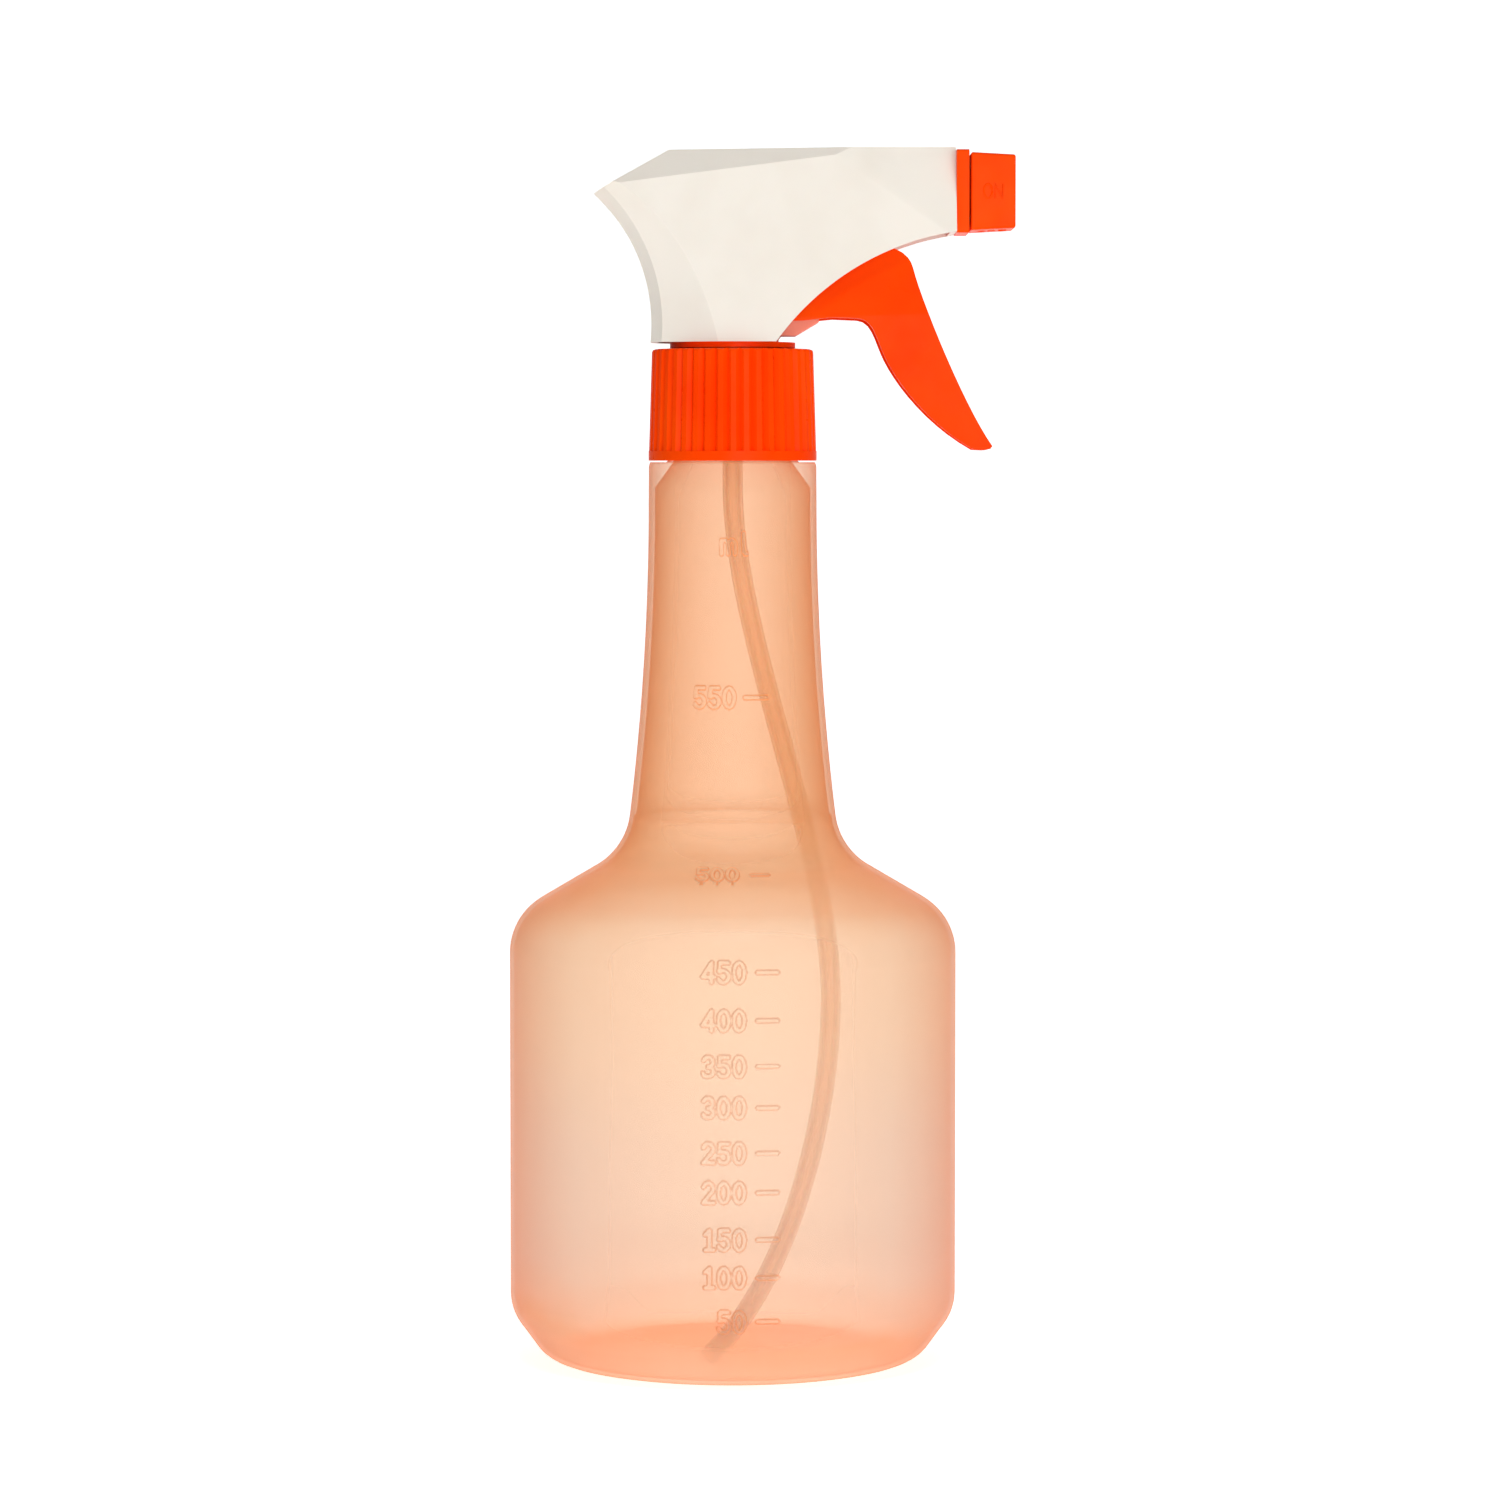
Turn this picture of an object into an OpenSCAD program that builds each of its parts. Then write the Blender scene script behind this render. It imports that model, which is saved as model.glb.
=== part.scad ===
// Trigger spray bottle, in millimetres, +Z up, +X the way it sprays.
// Origin: bottle axis on the plane the bottle stands on.

/* [Bottle] */
// Outside radius of the straight body
body_r = 44.0; // [30:0.1:60]
// Wall of the body
body_wall = 1.0; // [0.6:0.1:2]
// Radius of the circle the foot's corner is centred on
foot_r = 33.2; // [20:0.1:50]
// Corner radius of the foot
foot_corner = 7.0; // [2:0.1:12]
// Height where the flared foot reaches the straight body
flare_h = 13.1; // [8:0.1:25]
// Fillet radius between flare and body
flare_fillet = 9.7; // [4:0.1:15]
// Width of the flat ring the bottle stands on
stand_w = 1.8; // [0.5:0.1:6]
// Rise of the hollow under the base
punt_h = 3.0; // [0:0.1:8]
// Radius of the rounding from body to shoulder
shoulder_r = 12.8; // [4:0.1:25]
// Slope of the shoulder from level, degrees
shoulder_slope = 30.5; // [10:0.5:60]
// Radius of the hollow curve from shoulder to neck
hollow_r = 13.2; // [4:0.1:40]
// Slope of the neck from upright at its foot, degrees
neck_slope = 7.0; // [2:0.1:15]
// Radius of the long curve of the neck
neck_curve_r = 504; // [200:1:900]
// Outside radius of the neck under the closure
neck_r = 16.6; // [15:0.05:20]
// Length of straight neck below the ledge
neck_straight = 7.6; // [2:0.1:30]
// Height of the ledge under the closure
ledge_z = 176.3; // [150:0.1:220]
// Wall of the neck
neck_wall = 1.4; // [0.8:0.1:3]
// Bore radius of the threaded mouth
mouth_r = 10.9; // [8:0.1:12]
// Radius at the root of the bottle's thread
root_r = 12.7; // [12:0.05:14]
// Radius at the crest of the bottle's thread
crest_r = 13.8; // [13:0.05:15]
// Height of the threaded mouth above the ledge
finish_h = 17.9; // [12:0.1:22]
// Thread pitch
pitch = 4.233; // [2:0.001:6]
// Turns of thread
turns = 1.3; // [0.5:0.1:2]

/* [Scale on the bottle] */
// Height of the lowest mark above the flared foot
mark_up = 0.9; // [0.5:0.1:6]
// Step between the marks on the straight body
mark_step = 8.29; // [4:0.01:8.4]
// Marks on the straight body
marks = 9; // [0:1:9]
// Place of the mark on the shoulder, as a share of the slope
shoulder_mark = 0.96; // [0:0.01:1]
// Drop of the neck's mark below its straight part
neck_mark_down = 37.8; // [5:0.1:60]
// Start of the marks, round the wall from the front
mark_start = 4.4; // [2:0.1:8]
// Length of a mark round the wall
mark_l = 4.5; // [2:0.1:8]
// Radius of a mark's rounded section
mark_r = 0.45; // [0.3:0.05:0.6]
// How far a mark stands proud of the wall
mark_proud = 0.3; // [0.1:0.05:0.4]

/* [Closure] */
// Closure radius at the bottom of its ribs
cap_r = 16.35; // [15:0.05:20]
// Closure radius at its top
cap_top_r = 15.75; // [14:0.05:20]
// Plain band under the ribs
cap_band = 1.9; // [0.5:0.1:5]
// Height of the closure
cap_h = 21.7; // [15:0.1:30]
// Number of ribs
ribs = 40; // [12:1:80]
// Depth of the grooves between ribs
groove = 0.55; // [0.2:0.05:1]
// Thickness of the closure's top wall
cap_wall = 1.5; // [1:0.1:3]
// Gap from moving pieces to what they pass
gap = 0.3; // [0.1:0.05:0.6]

/* [Pump body] */
// Radius of the column through the closure
column_r = 9.9; // [7:0.1:11]
// Radius of the collar on top of the closure
collar_r = 12.25; // [11:0.05:14]
// Height of the collar
collar_h = 1.05; // [0.6:0.05:3]
// Height of the pump cylinder's axis above the ledge
pump_up = 35.2; // [31.7:0.1:39.7]
// Bore radius of the pump cylinder
pump_r = 5.5; // [4:0.1:6]
// Wall of the pump cylinder
pump_wall = 1.0; // [0.8:0.1:2]
// Front end of the pump cylinder
pump_front = 17.2; // [14:0.1:20]
// Height of the discharge barrel's axis above the ledge
barrel_up = 52.45; // [49.7:0.05:54.7]
// Outside radius of the barrel
barrel_r = 4.5; // [3.5:0.1:5]
// Bore radius of the barrel ahead of the valve
barrel_bore = 2.6; // [2:0.1:3]
// Bore radius of the barrel behind the valve
feed_bore = 1.7; // [1:0.1:2]
// Where the outlet valve's seat is
seat_x = 22; // [15:0.1:28]
// Front end of the barrel's nose
nose_x = 50.2; // [48:0.1:52]
// Centre of the upright duct
duct_x = -5.2; // [-8:0.1:-4]
// Outside radius of the upright duct
duct_r = 3.5; // [3:0.1:5]
// Bore radius of the upright duct
duct_bore = 2.1; // [1:0.1:2.8]

/* [Shroud] */
// Wall of the shroud
skin = 1.3; // [0.8:0.1:2]
// Front face of the shroud
front_x = 43.4; // [38:0.1:50]
// Top of the shroud above the ledge, at its front
top_up = 61.1; // [57.7:0.1:65.7]
// Half width of the shroud at its foot
foot_half = 12.6; // [10:0.1:15]
// Lean of the shroud's sides from upright, degrees
side_lean = 6.2; // [0:0.1:12]
// Radius of the hollow back of the shroud
back_r = 34.5; // [20:0.1:60]
// How far the centre of the back's curve is behind the bottle's axis
back_x = -50.3; // [-70:0.1:-40]
// Height of the centre of the back's curve above the ledge
back_up = 26.7; // [18.7:0.1:35.7]
// Radius of the arch over the trigger
arch_r = 52; // [30:0.1:80]
// Centre of the arch, forward
arch_x = 50.8; // [40:0.1:60]
// Drop of the centre of the arch below the ledge
arch_down = 6.9; // [-13.7:0.1:26.3]

/* [Trigger] */
// How far the trigger swings, degrees
pull = 20; // [10:1:25]
// Forward place of the trigger's pivot
pivot_x = 30.5; // [27:0.1:33]
// Radius of the pivot stubs
pivot_r = 1.6; // [1:0.1:2.2]
// Radius of the pin that drives the plunger
pin_r = 1.25; // [0.8:0.05:2]
// Thickness of the trigger's cheeks
cheek = 1.4; // [1:0.1:2]
// Thickness of the trigger's front wall
finger_wall = 1.7; // [1:0.1:3]
// Half width of the trigger where it is widest
trigger_half = 8.95; // [7:0.05:10]

/* [Nozzle] */
// Side of the square plate behind the nozzle
plate_w = 16.1; // [14:0.1:20]
// Thickness of the plate
plate_t = 2.5; // [1:0.1:4]
// Side of the nozzle at its back
nozzle_w = 15.1; // [13:0.1:18]
// Side of the nozzle at its front
nozzle_front_w = 14.2; // [12:0.1:18]
// Front end of the nozzle
nozzle_x = 54.9; // [53:0.1:60]
// Radius of the spray hole
orifice_r = 0.4; // [0.2:0.05:1]

/* [Tube] */
// Outside radius of the dip tube
tube_r = 2.0; // [1.5:0.05:3]
// Bore radius of the dip tube
tube_bore = 1.4; // [0.8:0.05:2.4]
// Furthest place forward that the tube bows to
tube_bow = 19.3; // [0:0.1:30]

/* [Hidden] */
$fn = 96;
eps = 0.01;
fit = 0.05;             // running fit, radial
finish_z = ledge_z + finish_h;
neck_straight_z = ledge_z - neck_straight;
pump_z = ledge_z + pump_up;
barrel_z = ledge_z + barrel_up;
top_z = ledge_z + top_up;
back_z = ledge_z + back_up;
arch_z = ledge_z - arch_down;
cap_z = ledge_z + gap;
cap_top = cap_z + cap_h;
seal_z = finish_z + gap;              // gasket, closed on the mouth
seal_h = 1.2;
flange_z = seal_z + seal_h;
flange_h = 0.8;
collar_z = cap_top + 0.25;
collar_top = collar_z + collar_h;
pump_od = pump_r + pump_wall;
pump_back = -1;
barrel_back = duct_x - duct_r - 0.6;
stroke = (barrel_z - pump_z) * pull * PI / 180;
pin_half = trigger_half - cheek;      // ends in blind holes in the trigger's cheeks
plate_front = front_x + plate_t;
holder_r = 5;
holder_z = finish_z - 4;
holder_top = flange_z + 5.3;
ball_r = 1.9;
seat_r = 1.25;
ball_seat = holder_top - 3;
ball_z = ball_seat + sqrt(ball_r * ball_r - seat_r * seat_r) + fit;
side_tan = tan(side_lean);

// ---- helpers ----
function arc(c, r, a0, a1, n = 12) =
    [for (i = [0:n]) c + r * [cos(a0 + (a1 - a0) * i / n), sin(a0 + (a1 - a0) * i / n)]];

function bezier(a, b, c, d, n = 12) =
    [for (i = [0:n]) let (t = i / n, u = 1 - t)
        u * u * u * a + 3 * u * u * t * b + 3 * u * t * t * c + t * t * t * d];

// A cylinder that lies along X from x0 to x1 at height z.
module along_x(x0, x1, z, r, y = 0) {
    translate([x0, y, z])
        rotate([0, 90, 0])
            cylinder(h = x1 - x0, r = r);
}

// A side view drawn in (x, z), given a width along Y.
module side_plate(half) {
    rotate([90, 0, 0])
        linear_extrude(height = 2 * half, center = true)
            children();
}

// A front view drawn in (y, z), given a length along X.
module front_plate(x0, x1) {
    translate([x0, 0, 0])
        rotate([90, 0, 90])
            linear_extrude(height = x1 - x0)
                children();
}

// Closed tube surface round a path of stations, each [centre, side, up].
module sweep(stations, ring) {
    n = len(ring);
    m = len(stations);
    points = [for (s = stations, p = ring) s[0] + p[0] * s[1] + p[1] * s[2]];
    sides = [for (i = [0:m - 2], j = [0:n - 1]) let (k = (j + 1) % n)
        each [[i * n + j, (i + 1) * n + k, i * n + k], [i * n + j, (i + 1) * n + j, (i + 1) * n + k]]];
    caps = [[for (j = [0:n - 1]) j], [for (j = [n - 1:-1:0]) (m - 1) * n + j]];
    polyhedron(points = points, faces = concat(sides, caps));
}

// Open-ended pipe round a path of stations.
module pipe(stations, outer, inner, n) {
    m = len(stations);
    points = [for (s = stations, r = [outer, inner], j = [0:n - 1])
        s[0] + r * cos(360 * j / n) * s[1] + r * sin(360 * j / n) * s[2]];
    walls = [for (i = [0:m - 2], j = [0:n - 1])
        let (k = (j + 1) % n, a = 2 * n * i + j, b = 2 * n * i + k, c = a + 2 * n, d = b + 2 * n)
        each [[a, d, b], [a, c, d], [a + n, b + n, d + n], [a + n, d + n, c + n]]];
    ends = [for (j = [0:n - 1])
        let (k = (j + 1) % n, e = 2 * n * (m - 1))
        each [[j, k, k + n], [j, k + n, j + n], [e + j, e + k + n, e + k], [e + j, e + j + n, e + k + n]]];
    polyhedron(points = points, faces = concat(walls, ends));
}

// Helical ridge of a screw thread. The ends sink into the wall.
module ridge(base, crest, half_base, half_crest, z0, steps = 30) {
    n = round(steps * turns);
    stations = [for (i = [0:n]) let (a = 360 * i / steps)
        [[0, 0, z0 + pitch * i / steps], [cos(a), sin(a), 0]]];
    tip = [for (i = [0:n]) base + (crest - base) * (0.05 + 0.95 * min(1, min(i, n - i) / 3))];
    m = len(stations);
    points = [for (i = [0:n]) let (s = stations[i], c = s[0], d = s[1])
        each [c + d * base - [0, 0, half_base], c + d * tip[i] - [0, 0, half_crest],
            c + d * tip[i] + [0, 0, half_crest], c + d * base + [0, 0, half_base]]];
    flip = crest > base ? 1 : 0;
    quads = [for (i = [0:m - 2], j = [0:3]) let (k = (j + 1) % 4, a = 4 * i + j, b = 4 * i + k)
        each [[a, a + 4, b + 4], [a, b + 4, b]]];
    caps = [[0, 1, 2], [0, 2, 3], [4 * m - 4, 4 * m - 2, 4 * m - 3], [4 * m - 4, 4 * m - 1, 4 * m - 2]];
    faces = concat(quads, caps);
    polyhedron(points = points,
        faces = flip == 1 ? [for (f = faces) [f[2], f[1], f[0]]] : faces);
}

// Coil spring along X from x0 to x1.
module coil(x0, x1, z, coil_r, wire_r, loops, steps = 16, sides = 6) {
    n = loops * steps;
    rise = (x1 - x0 - 2 * wire_r) / n;
    ring = [for (j = [0:sides - 1]) wire_r * [cos(360 * j / sides), sin(360 * j / sides)]];
    stations = [for (i = [0:n]) let (a = 360 * i / steps)
        [[x0 + wire_r + rise * i, coil_r * cos(a), z + coil_r * sin(a)],
            [0, cos(a), sin(a)], [-1, 0, 0]]];
    sweep(stations, ring);
}

// ---- bottle ----
flare_a = -41;
flare_c = [body_r - flare_fillet, flare_h];
neck_foot = [neck_r + neck_curve_r * (1 - cos(neck_slope)), neck_straight_z - neck_curve_r * sin(neck_slope)];
hollow_c = neck_foot + hollow_r * [cos(neck_slope), sin(neck_slope)];
hollow_end = hollow_c - hollow_r * [sin(shoulder_slope), cos(shoulder_slope)];
slope_len = (body_r - hollow_end[0] - shoulder_r * (1 - sin(shoulder_slope))) / cos(shoulder_slope);
shoulder_end = hollow_end + slope_len * [cos(shoulder_slope), -sin(shoulder_slope)];
shoulder_c = shoulder_end - shoulder_r * [sin(shoulder_slope), cos(shoulder_slope)];

// Outline of the bottle from the foot to the ledge, drawn t inside the outer surface.
function bottle_line(t, tn) = concat(
    arc([foot_r, foot_corner], foot_corner - t, -90, flare_a, 8),
    arc(flare_c, flare_fillet - t, flare_a, 0, 8),
    arc(shoulder_c, shoulder_r - t, 0, 90 - shoulder_slope, 12),
    arc(hollow_c, hollow_r + t, 270 - shoulder_slope, 180 + neck_slope, 10),
    arc([neck_r + neck_curve_r, neck_straight_z], neck_curve_r + tn, 180 + neck_slope, 180, 10));

// Outside radius of the straight body and of the rounding above it at height z.
function wall_r(z) = z > shoulder_c[1]
    ? shoulder_c[0] + sqrt(pow(shoulder_r, 2) - pow(z - shoulder_c[1], 2)) : body_r;

// One raised mark of the scale on the front of the wall at [radius, height].
module scale_mark(at) {
    turn = 180 / PI / at[0];
    rotate([0, 0, -90 + mark_start * turn])
        rotate_extrude(angle = mark_l * turn)
            translate([at[0] - mark_r + mark_proud, at[1]])
                circle(r = mark_r);
}

module bottle() {
    stand_in = foot_r - stand_w;
    color("moccasin")
        union() {
            rotate_extrude()
                polygon(concat(
                    [[0, punt_h], [stand_in * 0.5, punt_h * 0.72], [stand_in, 0]],
                    bottle_line(0, 0),
                    [[neck_r, ledge_z], [root_r, ledge_z], [root_r, finish_z], [mouth_r, finish_z],
                        [mouth_r, ledge_z + 1], [neck_r - neck_wall, ledge_z - 5]],
                    [for (i = [len(bottle_line(0, 0)) - 1:-1:0]) bottle_line(body_wall, neck_wall)[i]],
                    [[stand_in, body_wall], [stand_in * 0.5, punt_h * 0.72 + body_wall],
                        [0, punt_h + body_wall]]));
            ridge(root_r - 0.3, crest_r, 1.2, 0.5, finish_z - 8);
            for (i = [0:1:marks - 1])
                let (z = flare_h + mark_up + i * mark_step)
                    scale_mark([wall_r(z), z]);
            scale_mark(shoulder_end + shoulder_mark * (hollow_end - shoulder_end));
            scale_mark([neck_r + neck_curve_r - sqrt(pow(neck_curve_r, 2) - pow(neck_mark_down, 2)),
                neck_straight_z - neck_mark_down]);
        }
}

// ---- closure ----
module closure() {
    rib_z = cap_z + cap_band;
    lean = atan((cap_r - cap_top_r) / (cap_top - rib_z));
    inner_r = crest_r + gap + 0.05;
    color("orangered")
        union() {
            difference() {
                rotate_extrude()
                    polygon([[inner_r, cap_z], [cap_r + 0.1, cap_z], [cap_r + 0.1, rib_z],
                        [cap_r, rib_z], [cap_top_r + 0.02, cap_top - 0.6],
                        [cap_top_r - 0.16, cap_top - 0.16], [cap_top_r - 0.6, cap_top],
                        [column_r + gap, cap_top], [column_r + gap, cap_top - cap_wall],
                        [inner_r, cap_top - cap_wall]]);
                for (i = [0:ribs - 1])
                    rotate([0, 0, 360 * (i + 0.5) / ribs])
                        translate([cap_r, 0, rib_z])
                            rotate([0, -lean, 0])
                                rotate([0, 0, 45])
                                    translate([-groove * 0.7, -groove * 0.7, 0.02])
                                        cube([2 * groove, 2 * groove, cap_h]);
            }
            ridge(inner_r + 0.3, root_r + gap + 0.05, 1.0, 0.4, finish_z - 9.75);
        }
}

module closure_gasket() {
    color("gainsboro")
        translate([0, 0, seal_z])
            difference() {
                cylinder(h = seal_h, r = root_r);
                translate([0, 0, -1])
                    cylinder(h = seal_h + 2, r = holder_r + 2);
            }
}

// ---- pump body ----
module pump_body() {
    color("orangered")
        difference() {
            union() {
                translate([0, 0, flange_z])
                    cylinder(h = flange_h, r = root_r);
                translate([0, 0, flange_z])
                    cylinder(h = collar_top - flange_z, r = column_r);
                translate([0, 0, collar_z])
                    cylinder(h = collar_h, r = collar_r);
                translate([0, 0, collar_top - eps])
                    cylinder(h = 5, r = 9);
                translate([-8, -4, collar_top])
                    cube([16, 8, 6.5]);
                along_x(pump_back - 1.5, pump_front, pump_z, pump_od);
                translate([duct_x, 0, collar_top])
                    cylinder(h = barrel_z - collar_top, r = duct_r);
                along_x(barrel_back, nose_x, barrel_z, barrel_r);
                translate([-4, -0.9, pump_z + 4])
                    cube([20, 1.8, barrel_z - pump_z - 6]);
                translate([pivot_x, 7.2, barrel_z])
                    rotate([90, 0, 0])
                        cylinder(h = 14.4, r = pivot_r);
            }
            // feed from the tube holder, past the ball, to the duct
            translate([0, 0, flange_z - 1])
                cylinder(h = holder_top - flange_z + 1, r = holder_r);
            translate([0, 0, holder_top - eps])
                cylinder(h = 2.9, r = 2.9);
            along_x(duct_x, 0, holder_top + 1.6, 1.2);
            translate([duct_x, 0, holder_top + 0.1])
                cylinder(h = barrel_z - holder_top, r = duct_bore);
            // cylinder and its port
            along_x(pump_back, pump_front + 1, pump_z, pump_r);
            along_x(duct_x, pump_back + 1, pump_z, 1);
            // barrel
            along_x(duct_x, seat_x + 1, barrel_z, feed_bore);
            along_x(seat_x, nose_x + 1, barrel_z, barrel_bore);
            along_x(barrel_back - 1, barrel_back + 2, barrel_z, 2.6);
            // groove for the nozzle's seal
            difference() {
                along_x(nose_x - 2.6, nose_x - 1.2, barrel_z, barrel_r + 1);
                along_x(nose_x - 2.7, nose_x - 1.1, barrel_z, barrel_r - 1.1);
            }
        }
}

module cylinder_bracket() {
    low = collar_top + 1.25;
    color("salmon")
        difference() {
            side_plate(5.2)
                polygon([[6, low], [12.25, low], [16.8, low + 2.7], [16.8, low + 5.5], [6, low + 5.5]]);
            translate([0, 0, low - 2])
                cylinder(h = 3.8, r = 9);
            translate([-8, -4, collar_top])
                cube([16, 8, 6.5]);
            translate([0, 0, low])
                cylinder(h = 3.75 + eps, r = 9);
            along_x(0, 20, pump_z, pump_od);
        }
}

module barrel_plug() {
    color("orangered")
        union() {
            along_x(barrel_back - 0.8, barrel_back, barrel_z, 3.4);
            along_x(barrel_back - eps, barrel_back + 2, barrel_z, 2.6);
        }
}

// ---- shroud ----
// Cuts away the side y > plane through p, where the plane turns by turn about Z and tips by tip about X.
module facet_cut(p, turn, tip) {
    translate(p)
        rotate([tip, 0, turn])
            translate([-90, 0, -60])
                cube([180, 60, 120]);
}

module both_sides() {
    children();
    mirror([0, 1, 0])
        children();
}

// The shroud's outer form drawn t inside its skin. Its foot and its arch are cut elsewhere.
module shroud_form(t, low) {
    high = top_z + 1;
    half_low = foot_half - (low - collar_top) * side_tan - t / cos(side_lean);
    half_high = foot_half - (high - collar_top) * side_tan - t / cos(side_lean);
    difference() {
        intersection() {
            side_plate(20)
                polygon([[-40, low], [-40, top_z - 16.64 - t * 1.158],
                    [-26.95, top_z - 9 - t * 1.158], [-12.4, top_z - 0.5 - t * 1.158],
                    [front_x - t, top_z - t], [front_x - t, low]]);
            front_plate(-45, front_x + 1)
                polygon([[-half_low, low], [half_low, low], [half_high, high], [-half_high, high]]);
            translate([back_x, 0, back_z])
                rotate([90, 0, 0])
                    rotate_extrude()
                        polygon([[back_r + t, -5.0 + t], [back_r + 2.2 + t * 0.5, -8.1 + t],
                            [back_r + 17.5, -14.4 + t], [130, -14.4], [130, 14.4],
                            [back_r + 17.5, 14.4 - t], [back_r + 2.2 + t * 0.5, 8.1 - t],
                            [back_r + t, 5.0 - t]]);
        }
        // roof facets fall away from a rising line, front facets from a falling one
        both_sides()
            facet_cut([-21.1, 9.255 - t, top_z - 7 - t * 0.4], 5.4, 40);
        both_sides()
            facet_cut([20.9, 8.755 - t, top_z - 2.4 - t * 0.1], -8.3, 18);
    }
}

module shroud() {
    color("ivory")
        difference() {
            shroud_form(0, collar_top);
            shroud_form(skin, collar_top - 5);
            // arch over the trigger
            translate([arch_x, 30, arch_z])
                rotate([90, 0, 0])
                    cylinder(h = 60, r = arch_r);
            along_x(front_x - 5, front_x + 1, barrel_z, barrel_r + 1.1);
        }
}

// ---- nozzle end ----
module nose_plate() {
    color("orangered")
        difference() {
            union() {
                translate([front_x, -plate_w / 2, barrel_z - plate_w / 2])
                    cube([plate_t, plate_w, plate_w]);
                along_x(front_x - skin, front_x + 1, barrel_z, barrel_r + 1);
            }
            along_x(front_x - 5, plate_front + 1, barrel_z, barrel_r);
        }
}

module nozzle() {
    back = plate_front + gap;
    draft = atan((nozzle_w - nozzle_front_w) / 2 / (nozzle_x - back));
    color("orangered")
        difference() {
            translate([back, -nozzle_w / 2, barrel_z - nozzle_w / 2])
                cube([nozzle_x - back, nozzle_w, nozzle_w]);
            for (a = [0:90:270])
                translate([back, 0, barrel_z])
                    rotate([a, 0, 0])
                        translate([0, 0, nozzle_w / 2])
                            rotate([0, draft, 0])
                                translate([-2, -15, 0])
                                    cube([20, 30, 5]);
            along_x(back - 1, nose_x + gap, barrel_z, barrel_r + fit);
            along_x(nose_x, nozzle_x - 1.4, barrel_z, 3);
            along_x(nose_x, nozzle_x + 1, barrel_z, orifice_r);
            translate([nozzle_x - 0.7, 0, barrel_z])
                rotate([0, 90, 0])
                    cylinder(h = 1, r1 = 4.2, r2 = 5.2);
        }
}

module nozzle_seal() {
    color("dimgray")
        translate([nose_x - 1.9, 0, barrel_z])
            rotate([0, 90, 0])
                rotate_extrude()
                    translate([barrel_r - 0.55, 0])
                        circle(r = 0.5);
}

module spinner() {
    color("white")
        difference() {
            union() {
                along_x(36, 38, barrel_z, barrel_bore);
                along_x(37.9, nose_x + 1, barrel_z, 1.2);
                along_x(nose_x + 0.7, nose_x + 2, barrel_z, 2.2);
            }
            for (a = [0:120:240])
                translate([0, 0, barrel_z])
                    rotate([a, 0, 0])
                        translate([35, -0.5, 1.7])
                            cube([4, 1, 2]);
            for (a = [0:120:240])
                translate([0, 0, barrel_z])
                    rotate([a, 0, 0])
                        translate([nose_x + 1.5, 0.4, 0.6])
                            cube([2, 0.6, 2]);
        }
}

module outlet_valve() {
    color("white")
        union() {
            along_x(seat_x - 1.2, seat_x + 0.2, barrel_z, 1.2);
            along_x(seat_x + 0.1, seat_x + 1.3, barrel_z, barrel_bore - gap);
            along_x(seat_x + 1.2, seat_x + 5.5, barrel_z, 0.9);
        }
}

module outlet_spring() {
    color("silver")
        coil(seat_x + 1.35, 35.95, barrel_z, 1.65, 0.25, 8);
}

// ---- pump ----
head_x = 11;           // back of the plunger's head
head_len = 5.3;

module plunger() {
    slot_rise = (barrel_z - pump_z) * (1 - cos(pull)) + 0.15;
    slot_r = pin_r + 0.25;
    rod_x = head_x + head_len;
    color("whitesmoke")
        difference() {
            union() {
                along_x(head_x, rod_x, pump_z, pump_r - 0.6);
                along_x(rod_x - 0.5, rod_x, pump_z, pump_r - fit - 0.1);
                along_x(rod_x - eps, pivot_x - 1, pump_z, 2.5);
                translate([pivot_x, 0, pump_z])
                    rotate([90, 0, 0])
                        cylinder(h = 4.4, r = 2.9, center = true);
                translate([pivot_x, 0, pump_z + slot_rise])
                    rotate([90, 0, 0])
                        cylinder(h = 4.4, r = 2.6, center = true);
            }
            along_x(head_x - 1, head_x + 3, pump_z, 4.2);
            translate([pivot_x, 0, pump_z])
                rotate([90, 0, 0])
                    cylinder(h = 6, r = slot_r, center = true);
            translate([pivot_x, 0, pump_z + slot_rise])
                rotate([90, 0, 0])
                    cylinder(h = 6, r = slot_r, center = true);
            translate([pivot_x - slot_r, -3, pump_z])
                cube([2 * slot_r, 6, slot_rise]);
        }
}

module piston_seal() {
    inner = pump_r - 0.6;
    lip = pump_r - fit;
    len = head_len - 0.5;
    color("white")
        translate([head_x, 0, pump_z])
            rotate([0, 90, 0])
                rotate_extrude()
                    polygon([[inner, 0], [lip, 0], [lip, 0.5], [inner + 0.3, 1.4],
                        [inner + 0.3, len - 1.4], [lip, len - 0.5], [lip, len], [inner, len]]);
}

module return_spring() {
    color("silver")
        coil(pump_back + 0.05, head_x + 2.95, pump_z, 3.5, 0.4, 7, 20);
}

module cylinder_ring() {
    color("orangered")
        difference() {
            along_x(pump_front, pump_front + 1, pump_z, pump_od);
            along_x(pump_front - 1, pump_front + 2, pump_z, 2.5 + gap);
        }
}

// ---- trigger ----
// Side view, in millimetres forward of the bottle's axis and up from the ledge.
module trigger_side() {
    translate([0, ledge_z])
        polygon(concat(
            arc([pivot_x, barrel_up], 3.5, 180, 0, 10),
            [[33.6, 45.2], [31.6, 43.1], [31.3, 41.4], [32.9, 40.6], [34, 39.6], [34.6, 38.7]],
            bezier([35, 37.6], [36.7, 30.7], [45.2, 10.5], [50.5, 3.1], 14),
            [[50.1, 2.6], [48.9, 2.3]],
            bezier([46.9, 2.4], [38.6, 7], [32.4, 14.6], [29.7, 20], 10),
            bezier([29.2, 21.1], [27.8, 24.3], [27.2, 27.6], [24.4, 27.8], 6),
            [[19.5, 28], [13.6, 27.4], [9, 27.3], [9, 31.2], [22, 42.7]]));
}

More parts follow.
